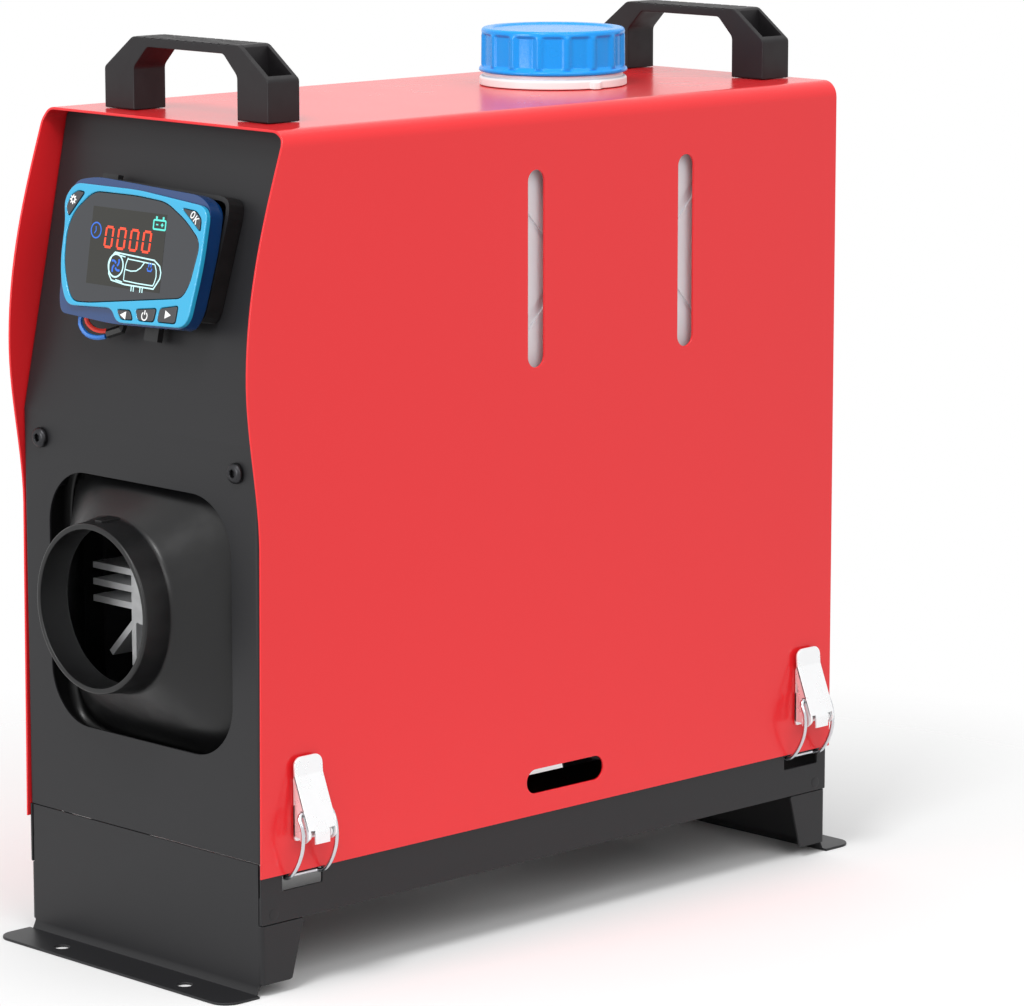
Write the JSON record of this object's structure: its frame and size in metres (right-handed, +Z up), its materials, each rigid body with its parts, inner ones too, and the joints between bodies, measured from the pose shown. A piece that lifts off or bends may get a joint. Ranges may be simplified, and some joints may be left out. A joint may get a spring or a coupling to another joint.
{
  "type": "diesel air heater",
  "caption": "Portable diesel air heater: tall narrow sheet steel case on two feet, round warm air collar, slanted control panel, fuel tank under a screw cap, toggle latches and carry handles.",
  "frame": {"origin": "middle of the whole part on the floor, between the outer ends of the collar and of the rear foot", "axes": "+Z up; -Y is the side of the warm air collar and the controller; +X is the right side seen from behind the controller, looking at the case from the front it is to the right"},
  "size_m": [0.1852, 0.4064, 0.4023],
  "materials": {
    "red_powder_coat": "gloss powder coat on folded sheet steel",
    "black_powder_coat": "satin powder coat on folded sheet steel",
    "duct_nylon": "moulded glass filled nylon, fine texture",
    "handle_plastic": "moulded plastic, spark textured",
    "black_screw": "black oxide",
    "tank_polyethylene": "natural blow moulded polyethylene",
    "white_plastic": "moulded",
    "cap_plastic": "moulded, satin",
    "seal_rubber": "moulded rubber",
    "bright_zinc": "bright zinc plated pressed steel",
    "plated_wire": "bright plated spring wire",
    "core_plastic": "moulded glass filled nylon",
    "cast_aluminium": "die cast, bare",
    "burner_steel": "stainless steel",
    "fan_plastic": "moulded nylon",
    "board_laminate": "glass fibre laminate with solder mask",
    "pump_aluminium": "turned, bare",
    "filter_plastic": "clear moulded plastic",
    "hose_rubber": "fuel hose rubber",
    "bezel_blue": "moulded, semi gloss",
    "housing_blue": "moulded, semi gloss",
    "window_acrylic": "dark acrylic",
    "button_plastic": "moulded, satin, printed icon",
    "bracket_plastic": "moulded",
    "blue_insulation": "extruded insulation",
    "red_insulation": "extruded insulation",
    "cable_sleeve": "extruded sleeve with a moulded grommet"
  },
  "bodies": {
    "case": {"hood": "red_powder_coat", "front_panel": "black_powder_coat", "rear_panel": "black_powder_coat", "left_rail": "black_powder_coat", "right_rail": "black_powder_coat", "front_foot": "black_powder_coat", "rear_foot": "black_powder_coat", "mount_plate": "black_powder_coat", "tank_shelf": "black_powder_coat", "outlet_duct": "duct_nylon", "front_handle": "handle_plastic", "rear_handle": "handle_plastic", "panel_screw_left": "black_screw", "panel_screw_right": "black_screw", "fuel_tank": "tank_polyethylene", "filler_collar": "white_plastic", "pad_gasket": "seal_rubber", "pump_mount": "seal_rubber", "latch_base_front_right": "bright_zinc", "latch_base_rear_right": "bright_zinc", "latch_base_front_left": "bright_zinc", "latch_base_rear_left": "bright_zinc", "core_lower_shell": "core_plastic", "core_upper_shell": "core_plastic", "intake_grille": "core_plastic", "heat_exchanger": "cast_aluminium", "blower_motor": "cast_aluminium", "burner": "burner_steel", "glow_plug": "burner_steel", "control_board": "board_laminate", "display_board": "board_laminate", "fuel_pump": "pump_aluminium", "fuel_filter": "filter_plastic", "hose_filter_to_pump": "hose_rubber", "hose_pump_to_burner": "hose_rubber", "controller_bezel": "bezel_blue", "controller_housing": "housing_blue", "controller_window": "window_acrylic", "controller_bracket": "bracket_plastic", "wire_blue": "blue_insulation", "wire_red": "red_insulation", "controller_cable": "cable_sleeve"},
    "cap_seal": {"cap_gasket": "seal_rubber"},
    "cap_disc": {"cap_liner": "white_plastic"},
    "cap": {"filler_cap": "cap_plastic"},
    "lever_front_right": {"latch_lever_front_right": "bright_zinc"},
    "bail_front_right": {"latch_bail_front_right": "plated_wire"},
    "lever_rear_right": {"latch_lever_rear_right": "bright_zinc"},
    "bail_rear_right": {"latch_bail_rear_right": "plated_wire"},
    "lever_front_left": {"latch_lever_front_left": "bright_zinc"},
    "bail_front_left": {"latch_bail_front_left": "plated_wire"},
    "lever_rear_left": {"latch_lever_rear_left": "bright_zinc"},
    "bail_rear_left": {"latch_bail_rear_left": "plated_wire"},
    "blower_rotor": {"combustion_impeller": "cast_aluminium", "fan_wheel": "fan_plastic"},
    "key_menu": {"button_menu": "button_plastic"},
    "key_ok": {"button_ok": "button_plastic"},
    "key_down": {"button_down": "button_plastic"},
    "key_power": {"button_power": "button_plastic"},
    "key_up": {"button_up": "button_plastic"}
  },
  "joints": [
    {"name": "cap_lift", "type": "slide", "parent": "case", "child": "cap_seal", "axis": [0, 0, 1], "range_m": [0, 0.06]},
    {"name": "cap_rise", "type": "slide", "parent": "cap_seal", "child": "cap_disc", "axis": [0, 0, 1], "range_m": [0, 0.0061]},
    {"name": "cap_turn", "type": "hinge", "parent": "cap_disc", "child": "cap", "pos_m": [0, 0.07585, 0.386], "axis": [0, 0, 1], "range_deg": [0, 540]},
    {"name": "lever_front_right_hinge", "type": "hinge", "parent": "case", "child": "lever_front_right", "pos_m": [0.0882, -0.15265, 0.0705], "axis": [0, 1, 0], "range_deg": [0, 150]},
    {"name": "bail_front_right_hinge", "type": "hinge", "parent": "lever_front_right", "child": "bail_front_right", "pos_m": [0.0872, -0.15265, 0.0795], "axis": [0, 1, 0], "range_deg": [-150, 0]},
    {"name": "lever_rear_right_hinge", "type": "hinge", "parent": "case", "child": "lever_rear_right", "pos_m": [0.0882, 0.16435, 0.0705], "axis": [0, 1, 0], "range_deg": [0, 150]},
    {"name": "bail_rear_right_hinge", "type": "hinge", "parent": "lever_rear_right", "child": "bail_rear_right", "pos_m": [0.0872, 0.16435, 0.0795], "axis": [0, 1, 0], "range_deg": [-150, 0]},
    {"name": "lever_front_left_hinge", "type": "hinge", "parent": "case", "child": "lever_front_left", "pos_m": [-0.0882, -0.15265, 0.0705], "axis": [0, -1, 0], "range_deg": [0, 150]},
    {"name": "bail_front_left_hinge", "type": "hinge", "parent": "lever_front_left", "child": "bail_front_left", "pos_m": [-0.0872, -0.15265, 0.0795], "axis": [0, -1, 0], "range_deg": [-150, 0]},
    {"name": "lever_rear_left_hinge", "type": "hinge", "parent": "case", "child": "lever_rear_left", "pos_m": [-0.0882, 0.16435, 0.0705], "axis": [0, -1, 0], "range_deg": [0, 150]},
    {"name": "bail_rear_left_hinge", "type": "hinge", "parent": "lever_rear_left", "child": "bail_rear_left", "pos_m": [-0.0872, 0.16435, 0.0795], "axis": [0, -1, 0], "range_deg": [-150, 0]},
    {"name": "blower_spin", "type": "hinge", "parent": "case", "child": "blower_rotor", "pos_m": [0, 0.119, 0.162], "axis": [0, 1, 0], "continuous": true},
    {"name": "press_menu", "type": "slide", "parent": "case", "child": "key_menu", "axis": [0, 0.9789, -0.2045], "range_m": [0, 0.0008], "stiffness_N_per_m": 600, "springref_m": -0.0004},
    {"name": "press_ok", "type": "slide", "parent": "case", "child": "key_ok", "axis": [0, 0.9789, -0.2045], "range_m": [0, 0.0008], "stiffness_N_per_m": 600, "springref_m": -0.0004},
    {"name": "press_down", "type": "slide", "parent": "case", "child": "key_down", "axis": [0, 0.9789, -0.2045], "range_m": [0, 0.0008], "stiffness_N_per_m": 600, "springref_m": -0.0004},
    {"name": "press_power", "type": "slide", "parent": "case", "child": "key_power", "axis": [0, 0.9789, -0.2045], "range_m": [0, 0.0008], "stiffness_N_per_m": 600, "springref_m": -0.0004},
    {"name": "press_up", "type": "slide", "parent": "case", "child": "key_up", "axis": [0, 0.9789, -0.2045], "range_m": [0, 0.0008], "stiffness_N_per_m": 600, "springref_m": -0.0004}
  ],
  "couplings": [
    {"joint": "cap_rise", "follows": "cap_turn", "m_per_rad": 0.00063662},
    {"joint": "bail_front_right_hinge", "follows": "lever_front_right_hinge", "ratio": -1},
    {"joint": "bail_rear_right_hinge", "follows": "lever_rear_right_hinge", "ratio": -1},
    {"joint": "bail_front_left_hinge", "follows": "lever_front_left_hinge", "ratio": -1},
    {"joint": "bail_rear_left_hinge", "follows": "lever_rear_left_hinge", "ratio": -1}
  ]
}
